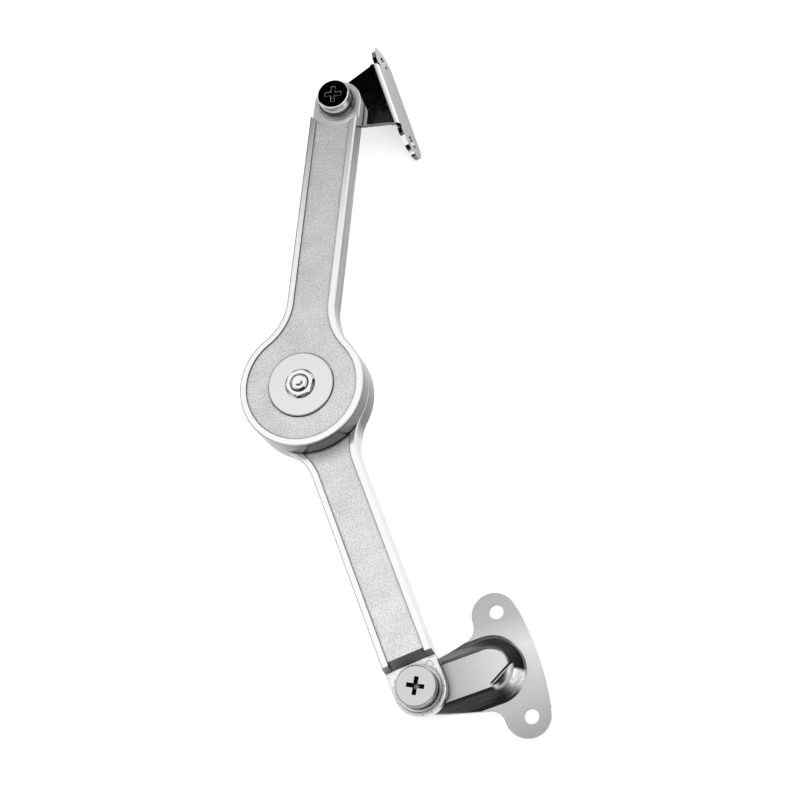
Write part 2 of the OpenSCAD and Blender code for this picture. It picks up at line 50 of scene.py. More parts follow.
# %% Camera
CAMERA_AT = Vector((44.0, -103.5, 470.0)) * MM
CAMERA_LOOKS = Vector((-0.1006, 0.3832, -0.9182)).normalized()
CAMERA_UP = Vector((0.3536, 0.8764, 0.3270))
SENSOR_MM, LENS_MM = 36.0, 72.0
camera_right = CAMERA_LOOKS.cross(CAMERA_UP).normalized()
camera_up = camera_right.cross(CAMERA_LOOKS)
camera = bpy.data.objects.new("camera", bpy.data.cameras.new("camera"))
camera.data.sensor_width = SENSOR_MM
camera.data.lens = LENS_MM
camera.data.clip_start = 10 * MM
camera.matrix_world = Matrix.Translation(CAMERA_AT) @ Matrix(
    (camera_right, camera_up, -CAMERA_LOOKS)).transposed().to_4x4()
bpy.context.scene.collection.objects.link(camera)
bpy.context.scene.camera = camera
bpy.context.scene.view_settings.view_transform = "Standard"
print("lens:", camera.data.lens, "mm")

# %% [markdown]
# ## Colours and nodes
# Swatches and photographs give colour as sRGB, while the shaders reckon in linear light. One function
# turns a hex value into linear, and one more adds a node with its settings and its links, so that each
# material below reads as a list of what goes into what.

# %% One function for colour and one for nodes
def linear(hex_colour):
    """The sRGB standard's own curve, from a hex colour to linear red, green, blue and alpha."""
    channels = [int(hex_colour[i:i + 2], 16) / 255 for i in (1, 3, 5)]
    return tuple(c / 12.92 if c <= 0.04045 else ((c + 0.055) / 1.055) ** 2.4 for c in channels) + (1.0,)


def node(tree, kind, settings=None, **inputs):
    """Adds a node. An input is named by its label, or by its number after an underscore.

    It takes a plain value, a hex colour, a socket to link, or a node whose first live result is linked.
    """
    made = tree.nodes.new(kind)
    for name, value in (settings or {}).items():
        setattr(made, name, value)
    for name, value in inputs.items():
        socket = made.inputs[int(name[1:]) if name[0] == "_" else name.replace("_", " ")]
        if isinstance(value, bpy.types.Node):
            value = next(result for result in value.outputs if result.enabled)
        if isinstance(value, bpy.types.NodeSocket):
            tree.links.new(value, socket)
        else:
            socket.default_value = linear(value) if isinstance(value, str) else value
    return made


# Settings that come back often; a Mix node takes its share at 0 and its two colours at 6 and 7
BLEND = {"data_type": "RGBA"}
TINT = {"data_type": "RGBA", "blend_type": "MULTIPLY"}
PRODUCT = {"operation": "MULTIPLY"}
DIFFERENCE = {"operation": "SUBTRACT"}
SIZE_ONLY = {"operation": "ABSOLUTE"}
LARGER = {"operation": "MAXIMUM"}
BELOW = {"operation": "LESS_THAN"}
SMOOTH = {"interpolation_type": "SMOOTHSTEP"}
print("bright nickel in linear light:", [round(c, 3) for c in linear("#D9D9DA")[:3]])

# %% Start of a material
def new_material(name):
    """An empty material, its node tree, and the place on the piece that its patterns read."""
    material = bpy.data.materials.new(name)
    material.use_nodes = True
    tree = material.node_tree
    tree.nodes.clear()
    return material, tree, node(tree, "ShaderNodeTexCoord").outputs["Object"]


print("patterns read object coordinates, so they turn with their piece")

# %% [markdown]
# ## What every plated surface shares
# Plated metal is a mirror, so its picture is made by edges and corners. A stamped edge is never
# sharp: it turns over within about 0.2 mm and catches a line of light, which the Bevel node gives
# without touching the mesh. Inner corners see little of the room, so painted shade darkens them,
# where Ambient Occlusion finds them over 0.3 to 3 mm.

# %% Edges and corners
# Openness at which the painted corner shade is deepest, and at which it ends
CORNER_SHADE_DEEP, CORNER_SHADE_CLEAR = 0.35, 0.9


def turned_edge(tree, radius_mm):
    """Normal that rounds each sharp edge over a radius."""
    return node(tree, "ShaderNodeBevel", {"samples": 4}, Radius=radius_mm * MM)


def open_air(tree, reach_mm):
    """How open a spot lies within a reach: 0 deep in a corner, 1 on a free face."""
    return node(tree, "ShaderNodeAmbientOcclusion", {"samples": 6}, Distance=reach_mm * MM).outputs["AO"]


def painted_corner_shade(tree, openness, darkest=0.12):
    """A factor that paints shade into a colour in the inner corners."""
    return node(tree, "ShaderNodeMapRange", Value=openness, From_Min=CORNER_SHADE_DEEP, From_Max=CORNER_SHADE_CLEAR,
                To_Min=darkest, To_Max=1.0)


print("corners darken below", CORNER_SHADE_CLEAR, "of open air")

# %% Where a surface faces, and how high it lies
def facing(tree):
    """The direction that a surface faces, split into the piece's own axes, so it turns with the piece."""
    return node(tree, "ShaderNodeSeparateXYZ", Vector=node(tree, "ShaderNodeTexCoord").outputs["Normal"])


def how_level(tree, low, high):
    """1 where a surface lies level, 0 where it stands steep."""
    level = node(tree, "ShaderNodeMath", SIZE_ONLY, _0=facing(tree).outputs["Z"])
    return node(tree, "ShaderNodeMapRange", SMOOTH, Value=level, From_Min=low, From_Max=high)


def above(tree, height, z_mm, soft_mm=0.1):
    """1 above a height, 0 below it."""
    return node(tree, "ShaderNodeMapRange", Value=height, From_Min=(z_mm - soft_mm) * MM,
                From_Max=(z_mm + soft_mm) * MM)


def near_spot(tree, place, at_mm, inner_mm, outer_mm):
    """1 within the inner distance of a place, 0 past the outer one."""
    away = node(tree, "ShaderNodeVectorMath", {"operation": "DISTANCE"}, _0=place,
                _1=tuple(c * MM for c in at_mm))
    return node(tree, "ShaderNodeMapRange", SMOOTH, Value=away, From_Min=inner_mm * MM,
                From_Max=outer_mm * MM, To_Min=1.0, To_Max=0.0)


def tone_ramp(tree, share, stops):
    """A colour that changes by stops of (share, hex colour)."""
    ramp = node(tree, "ShaderNodeValToRGB", _0=share)
    for place, _ in stops[1:-1]:
        ramp.color_ramp.elements.new(place)
    for element, (place, colour) in zip(ramp.color_ramp.elements, stops):
        element.position = place
        element.color = linear(colour)
    return ramp


print("masks: facing, how_level, above, near_spot, tone_ramp")

# %% [markdown]
# ## Bright plating on sheet
# Both brackets are pressed from steel sheet and plated with bright nickel and chrome. Such plating is
# a mirror with a slight haze, and it follows every fine ripple that the press left in the sheet.
#
# In the photograph the two plates, the lid bracket's bend and the drawn nose's walls seem to mirror
# bright and dark parts of a room. The better way is to place lamps and walls until the metal mirrors
# the same. Here those tones are painted instead, by the place on the piece and by the direction that
# a wall faces. They don't read the camera, but they are paint and no true reflections: they turn with
# the piece, and they stay when the light changes.

# %% A bright-plated sheet
SHEET_EDGE_MM = 0.2
HAZE_MM = 3.0
DULL_ROUGHNESS = 0.42
DENT_DEPTH_MM = 1.0


def plated_sheet(name, tone_of, gloss, ripple_mm, ripple_depth_mm, corner_mm, dent=None, dull=None):
    material, tree, place = new_material(name)
    # Painted shade darkens the sheet's inner corners
    tone = node(tree, "ShaderNodeMix", TINT, _0=1.0, _6=tone_of(tree, place),
                _7=painted_corner_shade(tree, open_air(tree, corner_mm), 0.3))
    ripple = node(tree, "ShaderNodeTexNoise", Vector=place, Scale=1 / (ripple_mm * MM), Detail=2.0)
    haze = node(tree, "ShaderNodeTexNoise", Vector=place, Scale=1 / (HAZE_MM * MM), Detail=4.0)
    rough = node(tree, "ShaderNodeMapRange", Value=haze, From_Min=0.3, From_Max=0.7,
                 To_Min=gloss * 0.8, To_Max=gloss * 1.25)
    if dull is not None:
        dulled = node(tree, "ShaderNodeMath", PRODUCT, _0=dull(tree, place), _1=DULL_ROUGHNESS)
        rough = node(tree, "ShaderNodeMath", LARGER, _0=rough, _1=dulled)
    bump = node(tree, "ShaderNodeBump", Height=ripple, Strength=1.0, Distance=ripple_depth_mm * MM,
                Normal=turned_edge(tree, SHEET_EDGE_MM))
    if dent is not None:
        bump = node(tree, "ShaderNodeBump", Height=dent(tree, place), Strength=1.0,
                    Distance=DENT_DEPTH_MM * MM, Normal=bump)
    shader = node(tree, "ShaderNodeBsdfPrincipled", Base_Color=tone, Metallic=1.0, Roughness=rough,
                  Normal=bump)
    node(tree, "ShaderNodeOutputMaterial", Surface=shader)
    return material


print("sheet edges turn over within", SHEET_EDGE_MM, "mm")

# %% [markdown]
# ## The dent in the nose's end
# The end of the drawn nose looks pushed in by the press, beside the lower hole. The photograph shows
# a dark crease, a light slope past it, a grey hollow in it and a bright bead at its end. A dent this
# small could be sculpted, but the mesh is the carried-over solid, so bump tilts the light on it and
# paint gives its four tones: painted shade in the crease and the hollow, painted highlights on the
# slope and the bead. Two directions across and along the crease place it on the nose.

# %% Shape of the dent
ACROSS_CREASE, ALONG_CREASE = (0.475, -0.881, 0.0), (-0.881, -0.475, 0.0)
CREASE_MM = 0.636
CREASE_FADES_MM = (8.4, 9.6)
DENT_FOOT_MM, DENT_FOOT_SOFT_MM = 6.6, 0.5
DENT_SLOPE_MM = 2.2
DENT_HOLLOW, DENT_BEAD = (-5.2, -4.6, 7.6), (-6.9, -5.9, 6.6)


def past_crease(tree, place, from_mm, to_mm):
    """0 to 1 across the crease, on the part of the wall that the press pushed in."""
    across = node(tree, "ShaderNodeVectorMath", {"operation": "DOT_PRODUCT"}, _0=place, _1=ACROSS_CREASE)
    along = node(tree, "ShaderNodeVectorMath", {"operation": "DOT_PRODUCT"}, _0=place, _1=ALONG_CREASE)
    past = node(tree, "ShaderNodeMapRange", SMOOTH, Value=across, From_Min=(CREASE_MM + from_mm) * MM,
                From_Max=(CREASE_MM + to_mm) * MM)
    short = node(tree, "ShaderNodeMapRange", SMOOTH, Value=along, From_Min=CREASE_FADES_MM[0] * MM,
                 From_Max=CREASE_FADES_MM[1] * MM, To_Min=1.0, To_Max=0.0)
    height = node(tree, "ShaderNodeSeparateXYZ", Vector=place).outputs["Z"]
    return node(tree, "ShaderNodeMath", PRODUCT, _0=node(tree, "ShaderNodeMath", PRODUCT, _0=past, _1=short),
                _1=above(tree, height, DENT_FOOT_MM, DENT_FOOT_SOFT_MM))


def nose_dent(tree, place):
    """Height of the dent for bump: a slope down past the crease, and a bead that stands up."""
    bead = near_spot(tree, place, DENT_BEAD, 0.1, 0.9)
    slope = node(tree, "ShaderNodeMath", PRODUCT, _0=past_crease(tree, place, 0.0, DENT_SLOPE_MM), _1=-0.9)
    return node(tree, "ShaderNodeMath", {"operation": "MULTIPLY_ADD"}, _0=bead, _1=0.55, _2=slope)


print("the crease's slope is", DENT_SLOPE_MM, "mm wide")

# %% Tones of the dent
def paint_dent_light(tree, place, tone):
    """Paints the dent's light over a tone: shade in the crease and the hollow, highlights on the slope and
    the bead.
    """
    for share, colour in ((past_crease(tree, place, -0.5, -0.2), "#1A1A1B"),
                          (past_crease(tree, place, 0.15, 0.4), "#CCCCCD"),
                          (near_spot(tree, place, DENT_HOLLOW, 0.2, 0.9), "#A8A8AA"),
                          (near_spot(tree, place, DENT_BEAD, 0.5, 0.8), "#F8F8F8")):
        tone = node(tree, "ShaderNodeMix", BLEND, _0=share, _6=tone, _7=colour)
    return tone


print("the dent has four painted tones")

# %% [markdown]
# ## The drawn bracket
# Drawing drags the nose's walls over the die, which leaves fine streaks and a duller surface there
# than on the plate. Such streaks are finer than the picture can show, so they are drawn 0.8 mm apart.
# The painted tones run round the nose's end by the direction that the wall faces, and along the plate
# and the nose's top by place.

# %% Drawn sheet
# From the side towards -Y, round the nose's end, to the side towards +Y
WALL_TONES = ((0.0, "#343436"), (0.05, "#404042"), (0.1, "#707072"), (0.17, "#C0C0C2"), (0.23, "#F6F6F7"),
              (0.37, "#F6F6F7"), (0.41, "#141415"), (0.58, "#1C1C1D"), (0.75, "#444446"), (1.0, "#5A5A5C"))
# From the plate's end at -Y to its end at +Y
PLATE_TONES = ((0.0, "#A2A2A3"), (0.25, "#BCBCBD"), (0.6, "#DCDCDD"), (0.82, "#B6B6B7"), (1.0, "#B0B0B1"))
PLATE_ENDS_MM = (-22, 22)
NOSE_TOP_ENDS_MM = (-24, -3)
NOSE_FOOT_MM, NOSE_TOP_MM = 1.7, 7.8
STREAK_MM = 0.8


def nose_wall(tree, place):
    """1 on the steep walls of the nose, 0 on its top and on the plate."""
    height = node(tree, "ShaderNodeSeparateXYZ", Vector=place).outputs["Z"]
    steep = node(tree, "ShaderNodeMath", DIFFERENCE, _0=1.0, _1=how_level(tree, 0.75, 0.96))
    return node(tree, "ShaderNodeMath", PRODUCT, _0=above(tree, height, NOSE_FOOT_MM), _1=steep)


def wall_tone(tree, place):
    """The painted tones round the nose's end, with the streaks of the draw."""
    normal = facing(tree)
    bearing = node(tree, "ShaderNodeMath", {"operation": "ARCTAN2"}, _0=normal.outputs["Y"],
                   _1=normal.outputs["X"])
    round_end = node(tree, "ShaderNodeMapRange", Value=bearing, From_Min=-math.pi / 2, From_Max=math.pi / 2)
    streaks = node(tree, "ShaderNodeTexNoise", Scale=1 / (STREAK_MM * MM), Detail=2.0,
                   Vector=node(tree, "ShaderNodeMapping", Vector=place, Scale=(0.08, 0.5, 1.0)))
    streaked = node(tree, "ShaderNodeMapRange", Value=streaks, From_Min=0.35, From_Max=0.65, To_Min=0.72,
                    To_Max=1.32)
    return node(tree, "ShaderNodeMix", TINT, _0=1.0, _6=tone_ramp(tree, round_end, WALL_TONES), _7=streaked)


def drawn_tone(tree, place):
    """Painted reflections: the plate is brightest beside the nose, whose walls go from dark to bright."""
    along = node(tree, "ShaderNodeSeparateXYZ", Vector=place)
    towards_end = node(tree, "ShaderNodeMapRange", Value=along.outputs["X"],
                       From_Min=NOSE_TOP_ENDS_MM[0] * MM, From_Max=NOSE_TOP_ENDS_MM[1] * MM)
    top = node(tree, "ShaderNodeMix", BLEND, _0=towards_end, _6="#A2A2A3", _7="#D4D4D5")
    up_plate = node(tree, "ShaderNodeMapRange", Value=along.outputs["Y"], From_Min=PLATE_ENDS_MM[0] * MM,
                    From_Max=PLATE_ENDS_MM[1] * MM)
    flat = node(tree, "ShaderNodeMix", BLEND, _0=above(tree, along.outputs["Z"], NOSE_TOP_MM),
                _6=tone_ramp(tree, up_plate, PLATE_TONES), _7=top)
    whole = node(tree, "ShaderNodeMix", BLEND, _0=nose_wall(tree, place), _6=flat, _7=wall_tone(tree, place))
    return paint_dent_light(tree, place, whole)


drawn_sheet = plated_sheet("bright_sheet_drawn", drawn_tone, 0.16, 12.0, 0.05, 3.0, nose_dent, nose_wall)
print("made", drawn_sheet.name)

# %% [markdown]
# ## The folded bracket
# The lid bracket is only folded, not drawn, and it is the glossier of the two. In the photograph its
# plate seems to mirror a dark part of the room and its bend a bright one, with a near-black line
# between, and the walls of its two holes are nearly black. How steep the surface stands tells plate,
# line and bend apart, and two round spots paint the walls of the holes.

# %% Folded sheet
LID_HOLES = ((23.78, 208.41, 6.52), (23.78, 175.41, 6.52))
HOLE_WALL_MM = (2.55, 2.75)
CLOUD_MM = 16.0


def folded_tone(tree, place):
    """Painted reflections: a dark plate and a bright bend, with a dark line between and round the holes."""
    cloud = node(tree, "ShaderNodeTexNoise", Vector=place, Scale=1 / (CLOUD_MM * MM), Detail=1.0)
    share = node(tree, "ShaderNodeMapRange", Value=cloud, From_Min=0.38, From_Max=0.62)
    tone = node(tree, "ShaderNodeMix", BLEND, _0=share, _6="#606063", _7="#69696C")
    for hole in LID_HOLES:
        tone = node(tree, "ShaderNodeMix", BLEND, _0=near_spot(tree, place, hole, *HOLE_WALL_MM), _6=tone,
                    _7="#101011")
    for low, high, colour in ((0.2, 0.23, "#1E1E1F"), (0.33, 0.4, "#E6E6E7")):
        tone = node(tree, "ShaderNodeMix", BLEND, _0=how_level(tree, low, high), _6=tone, _7=colour)
    return tone


folded_sheet = plated_sheet("bright_sheet_folded", folded_tone, 0.05, 14.0, 0.02, 1.6)
print("made", folded_sheet.name)

# %% [markdown]
# ## Zinc casting: where each finish lies
# The arms are die-cast zinc under nickel. A sunken field on the front keeps the grain of the sanded
# mould, and the rim round it is polished flat. The field and the rim differ in height by under half a
# millimetre, so the height in object space picks the finish. The tongues, where the arms are thinner,
# keep the coarser skin of the casting.

# %% Masks on the casting
ELBOW = (-32.8336 * MM, 99.8630 * MM, 0.0)
FIELD_HALF_MM = 0.06


def on_field(tree, height, level, field_z):
    """1 on the sunken field: level, and at the field's own height."""
    off = node(tree, "ShaderNodeMath", DIFFERENCE, _0=height, _1=field_z * MM)
    off = node(tree, "ShaderNodeMath", SIZE_ONLY, _0=off)
    near = node(tree, "ShaderNodeMath", BELOW, _0=off, _1=FIELD_HALF_MM * MM)
    return node(tree, "ShaderNodeMath", PRODUCT, _0=near, _1=level)


def from_elbow(tree, parts):
    """Distance from the elbow's axis."""
    flat_place = node(tree, "ShaderNodeCombineXYZ", X=parts.outputs["X"], Y=parts.outputs["Y"])
    return node(tree, "ShaderNodeVectorMath", {"operation": "DISTANCE"}, _0=flat_place, _1=ELBOW)


print("the field is found within", FIELD_HALF_MM, "mm of its height")

# %% [markdown]
# ## Zinc casting: the walls
# Polishing leaves marks that run round a casting, drawn here 0.9 mm high between two painted tones of
# the wall. The walls' tones are painted as the brackets' are, to copy what they seem to mirror in the
# photograph: light on the lower arm's walls, dark on the upper arm's walls and on the disc's edge, and
# grey on the lower tongue's step where it faces the pivot.

# %% Walls of the casting
BAND_MM = 0.9
DISC_EDGE_MM = (20.2, 22.5)
DISC_TONES = ("#303032", "#6C6C6E")
STEP_Y_MM = 14.0
STEP_TONE, STEP_ROUGHNESS = "#A6A6A8", 0.6


def side_tone(tree, place, elbow_distance, sides):
    """Painted tones of the arm's walls, darker on the disc's edge."""
    banding = node(tree, "ShaderNodeTexNoise", Scale=1 / (BAND_MM * MM), Detail=2.0,
                   Vector=node(tree, "ShaderNodeMapping", Vector=place, Scale=(0.02, 0.02, 1.0)))
    bands = node(tree, "ShaderNodeMapRange", Value=banding, From_Min=0.3, From_Max=0.7)
    on_disc = node(tree, "ShaderNodeMapRange", Value=elbow_distance, From_Min=DISC_EDGE_MM[0] * MM,
                   From_Max=DISC_EDGE_MM[1] * MM, To_Min=1.0, To_Max=0.0)
    arm, disc = (node(tree, "ShaderNodeMix", BLEND, _0=bands, _6=dark, _7=bright)
                 for dark, bright in (sides, DISC_TONES))
    return node(tree, "ShaderNodeMix", BLEND, _0=on_disc, _6=arm, _7=disc)


def tongue_step(tree, parts, tongue_z):
    """1 on the step above the tongue, where it faces the pivot."""
    faces_pivot = node(tree, "ShaderNodeMapRange", Value=facing(tree).outputs["Y"], From_Min=-0.6,
                       From_Max=-0.5, To_Min=1.0, To_Max=0.0)
    by_pivot = node(tree, "ShaderNodeMath", BELOW, _0=parts.outputs["Y"], _1=STEP_Y_MM * MM)
    there = node(tree, "ShaderNodeMath", PRODUCT, _0=faces_pivot, _1=by_pivot)
    return node(tree, "ShaderNodeMath", PRODUCT, _0=there,
                _1=above(tree, parts.outputs["Z"], tongue_z + 0.1, 0.05))


print("the disc's edge lies within", DISC_EDGE_MM[0], "mm of the elbow's axis")

# %% [markdown]
# ## Zinc casting: grain, pits and corners
# Real grains of the sanded mould are about 0.15 mm, too fine for the picture, so they are drawn at
# about 0.5 mm, where they show as the photograph's speckle. A line of painted shade about 0.3 mm wide
# runs round the field, in the sharp corner under the rim, and Ambient Occlusion finds that corner; the
# other inner corners get painted shade too. In the photograph the line is faint at the satin washer's
# foot, so it is weakened there.

# %% Grain, pits and corners
GRAIN_MM, PATCH_MM, PIT_MM = 0.5, 7.0, 0.8
CORNER_MM = 1.4
WASHER_FOOT_MM = (12.0, 14.0)


def pitted_tone(tree, place, tone, pitted, where):
    """Dark pits in the skin of the tongue."""
    pit = node(tree, "ShaderNodeTexNoise", Vector=place, Scale=1 / (PIT_MM * MM), Detail=4.0, Roughness=0.7)
    spared = node(tree, "ShaderNodeMapRange", Value=pit, From_Min=0.36, From_Max=0.43, To_Min=1.0 - pitted,
                  To_Max=1.0)
    return node(tree, "ShaderNodeMix", TINT, _0=where, _6=tone, _7=spared)


def speckled_tone(tree, place, tone, grain, field):
    """The field's speckle, and broad, faint patches."""
    speckle = node(tree, "ShaderNodeMapRange", Value=grain, From_Min=0.35, From_Max=0.65, To_Min=0.74,
                   To_Max=1.14)
    patch = node(tree, "ShaderNodeTexNoise", Vector=place, Scale=1 / (PATCH_MM * MM), Detail=2.0)
    uneven = node(tree, "ShaderNodeMapRange", Value=patch, From_Min=0.3, From_Max=0.7, To_Min=0.93,
                  To_Max=1.07)
    for factor in (speckle, uneven):
        tone = node(tree, "ShaderNodeMix", TINT, _0=field, _6=tone, _7=factor)
    return tone


def cornered_tone(tree, tone, elbow_distance, field):
    """Painted shade in the corners, and a painted shade line round the field."""
    openness = open_air(tree, CORNER_MM)
    line = node(tree, "ShaderNodeMapRange", Value=openness, From_Min=0.58, From_Max=0.82, To_Min=0.25,
                To_Max=1.0)
    washer_side = node(tree, "ShaderNodeMapRange", Value=elbow_distance, From_Min=WASHER_FOOT_MM[0] * MM,
                       From_Max=WASHER_FOOT_MM[1] * MM, To_Min=0.35, To_Max=1.0)
    tone = node(tree, "ShaderNodeMix", TINT, _0=washer_side, _6=tone, _7=painted_corner_shade(tree, openness))
    in_field = node(tree, "ShaderNodeMath", PRODUCT, _0=field, _1=washer_side)
    return node(tree, "ShaderNodeMix", TINT, _0=in_field, _6=tone, _7=line)


print("grains are drawn at", GRAIN_MM, "mm")

# %% Sanded and polished casting
FIELD_TONE = "#F2F2F2"
SKIN_MM, GRAIN_DEPTH_MM, CAST_EDGE_MM = 0.9, 0.08, 0.25
# Roughness of the rim, the field and the tongue
POLISHED, SANDED, AS_CAST = 0.2, 0.42, 0.36


def plated_casting(name, field_z, tongue_z, sides, tongue, skin_depth_mm, pitted, dark_step):
    material, tree, place = new_material(name)
    parts = node(tree, "ShaderNodeSeparateXYZ", Vector=place)
    height = parts.outputs["Z"]
    level = how_level(tree, 0.3, 0.7)
    field = on_field(tree, height, level, field_z)
    on_tongue = node(tree, "ShaderNodeMath", DIFFERENCE, _0=1.0, _1=above(tree, height, tongue_z + 0.3))
    elbow_distance = from_elbow(tree, parts)
    tongue_top = node(tree, "ShaderNodeMath", PRODUCT, _0=on_tongue, _1=level)
    flat = node(tree, "ShaderNodeMix", BLEND, _0=on_tongue, _6=FIELD_TONE, _7=tongue)
    tone = node(tree, "ShaderNodeMix", BLEND, _0=level, _6=side_tone(tree, place, elbow_distance, sides),
                _7=flat)
    tone = pitted_tone(tree, place, tone, pitted, tongue_top)
    satin = node(tree, "ShaderNodeMapRange", Value=field, To_Min=POLISHED, To_Max=SANDED)
    rough = node(tree, "ShaderNodeMapRange", Value=tongue_top, To_Min=0.0, To_Max=AS_CAST)
    rough = node(tree, "ShaderNodeMath", LARGER, _0=satin, _1=rough)
    if dark_step:
        step = tongue_step(tree, parts, tongue_z)
        tone = node(tree, "ShaderNodeMix", BLEND, _0=step, _6=tone, _7=STEP_TONE)
        rough = node(tree, "ShaderNodeMath", LARGER, _0=rough,
                     _1=node(tree, "ShaderNodeMath", PRODUCT, _0=step, _1=STEP_ROUGHNESS))
    grain = node(tree, "ShaderNodeTexNoise", Vector=place, Scale=1 / (GRAIN_MM * MM), Detail=3.0,
                 Roughness=0.6)
    tone = cornered_tone(tree, speckled_tone(tree, place, tone, grain, field), elbow_distance, field)
    skin = node(tree, "ShaderNodeTexNoise", Vector=place, Scale=1 / (SKIN_MM * MM), Detail=3.0)
    bump = node(tree, "ShaderNodeBump", Height=skin, Strength=on_tongue, Distance=skin_depth_mm * MM,
                Normal=turned_edge(tree, CAST_EDGE_MM))
    bump = node(tree, "ShaderNodeBump", Height=grain, Strength=field, Distance=GRAIN_DEPTH_MM * MM,
                Normal=bump)
    shader = node(tree, "ShaderNodeBsdfPrincipled", Base_Color=tone, Metallic=1.0, Roughness=rough,
                  Normal=bump)
    node(tree, "ShaderNodeOutputMaterial", Surface=shader)
    return material


lower_casting = plated_casting("plated_casting_lower", 15.05, 12.0, ("#A4A4A6", "#E6E6E8"), "#F8F8F9",
                               skin_depth_mm=0.08, pitted=0.75, dark_step=True)
upper_casting = plated_casting("plated_casting_upper", 22.55, 20.25, ("#48484A", "#949496"), "#F4F4F5",
                               skin_depth_mm=0.03, pitted=0.1, dark_step=False)
print("made", lower_casting.name, "and", upper_casting.name)

# %% [markdown]
# ## Small metal parts: walls, recess and thread
# Screws, nuts and washers are turned or stamped, then nickel- or zinc-plated. Tools leave marks round
# their walls, drawn 0.5 mm high between two painted reflection tones of the wall. In the photograph
# the walls seem to mirror a dark part of the room on the side towards +X. That side is painted near
# black here, which is paint and no true reflection, like the brackets' tones. The cross recess is
# punched; it gets painted shade, with a painted highlight in the middle of its floor.
# Only the last millimetre of each pivot screw stands out of its nut, so its thread is a bump and not
# more mesh: it climbs by one pitch while the bearing round the axis goes through one turn.

# %% Walls and recess
MARK_MM = 0.5
# How far a wall faces +X: from the first share the black comes in, and at the second it is full
TURNED_AWAY = (0.45, 0.8)
RECESS_RADIUS_MM = 2.9
RECESS_DEPTH_MM = 2.2


def marked_walls(tree, place, walls):
    """Tool marks between two painted reflection tones, and a painted reflection near black towards +X."""
    marks = node(tree, "ShaderNodeTexNoise", Scale=1 / (MARK_MM * MM), Detail=1.0,
                 Vector=node(tree, "ShaderNodeMapping", Vector=place, Scale=(0.05, 0.05, 1.0)))
    marked = node(tree, "ShaderNodeMapRange", Value=marks, From_Min=0.42, From_Max=0.58)
    wall = node(tree, "ShaderNodeMix", BLEND, _0=marked, _6=walls[0], _7=walls[1])
    turned = node(tree, "ShaderNodeMapRange", SMOOTH, Value=facing(tree).outputs["X"],
                  From_Min=TURNED_AWAY[0], From_Max=TURNED_AWAY[1])
    return node(tree, "ShaderNodeMix", BLEND, _0=turned, _6=wall, _7="#0E0E0F")


def paint_recess_shade(tree, about, tone, head_top_mm):
    """Paints shade into the cross recess, with a painted highlight in the middle of its floor."""
    parts = node(tree, "ShaderNodeSeparateXYZ", Vector=about)
    flat = node(tree, "ShaderNodeCombineXYZ", X=parts.outputs["X"], Y=parts.outputs["Y"])
    radius = node(tree, "ShaderNodeVectorMath", {"operation": "LENGTH"}, _0=flat)
    inside = node(tree, "ShaderNodeMath", BELOW, _0=radius, _1=RECESS_RADIUS_MM * MM)
    sunk = node(tree, "ShaderNodeMapRange", Value=parts.outputs["Z"], From_Min=(head_top_mm - 0.55) * MM,
                From_Max=(head_top_mm - 0.15) * MM, To_Min=1.0, To_Max=0.0)
    dark = node(tree, "ShaderNodeMath", PRODUCT, _0=node(tree, "ShaderNodeMath", PRODUCT, _0=inside, _1=sunk),
                _1=above(tree, parts.outputs["Z"], head_top_mm - RECESS_DEPTH_MM))
    middle = node(tree, "ShaderNodeMapRange", Value=radius, From_Min=0.3 * MM, From_Max=1.1 * MM)
    floor_tone = node(tree, "ShaderNodeMix", BLEND, _0=middle, _6="#7A7A7C", _7="#141415")
    return node(tree, "ShaderNodeMix", BLEND, _0=dark, _6=tone, _7=floor_tone)


print("the recess is found within", RECESS_RADIUS_MM, "mm of the axis")

# %% Thread
PITCH_MM = 0.8


def threaded(tree, about, bump, below_mm):
    """A helix is height plus bearing: one pitch for each turn, on the tip below a height."""
    spot = node(tree, "ShaderNodeSeparateXYZ", Vector=about)
    bearing = node(tree, "ShaderNodeMath", {"operation": "ARCTAN2"}, _0=spot.outputs["Y"],
                   _1=spot.outputs["X"])
    climb = node(tree, "ShaderNodeMath", PRODUCT, _0=spot.outputs["Z"], _1=1 / (PITCH_MM * MM))
    turn = node(tree, "ShaderNodeMath", PRODUCT, _0=bearing, _1=1 / math.tau)
    turns = node(tree, "ShaderNodeMath", DIFFERENCE, _0=climb, _1=turn)
    ridge = node(tree, "ShaderNodeMath", {"operation": "PINGPONG"}, _0=turns, _1=0.5)
    cut = node(tree, "ShaderNodeMath", DIFFERENCE, _0=1.0,
               _1=above(tree, spot.outputs["Z"], below_mm, 0.05))
    return node(tree, "ShaderNodeBump", Height=ridge, Strength=cut, Distance=PITCH_MM * MM, Normal=bump)


print("thread pitch:", PITCH_MM, "mm")

# %% [markdown]
# ## Small metal parts: the finish
# Turning leaves fine rings round the axis: real ones are a tenth of a millimetre apart, and they are
# drawn at 0.6 mm so that they show. One function makes every such finish. Each of the three axes has
# its own set, because the rings have to be centred on it.

# %% Turned and plated small parts
WEAR_MM, RING_MM, TURNED_EDGE_MM = 1.8, 0.6, 0.15
# A wave texture takes the sine of 20 times the distance, so at scale 1 its rings are tau / 20 apart
RING_SCALE = math.tau / (20 * RING_MM * MM)


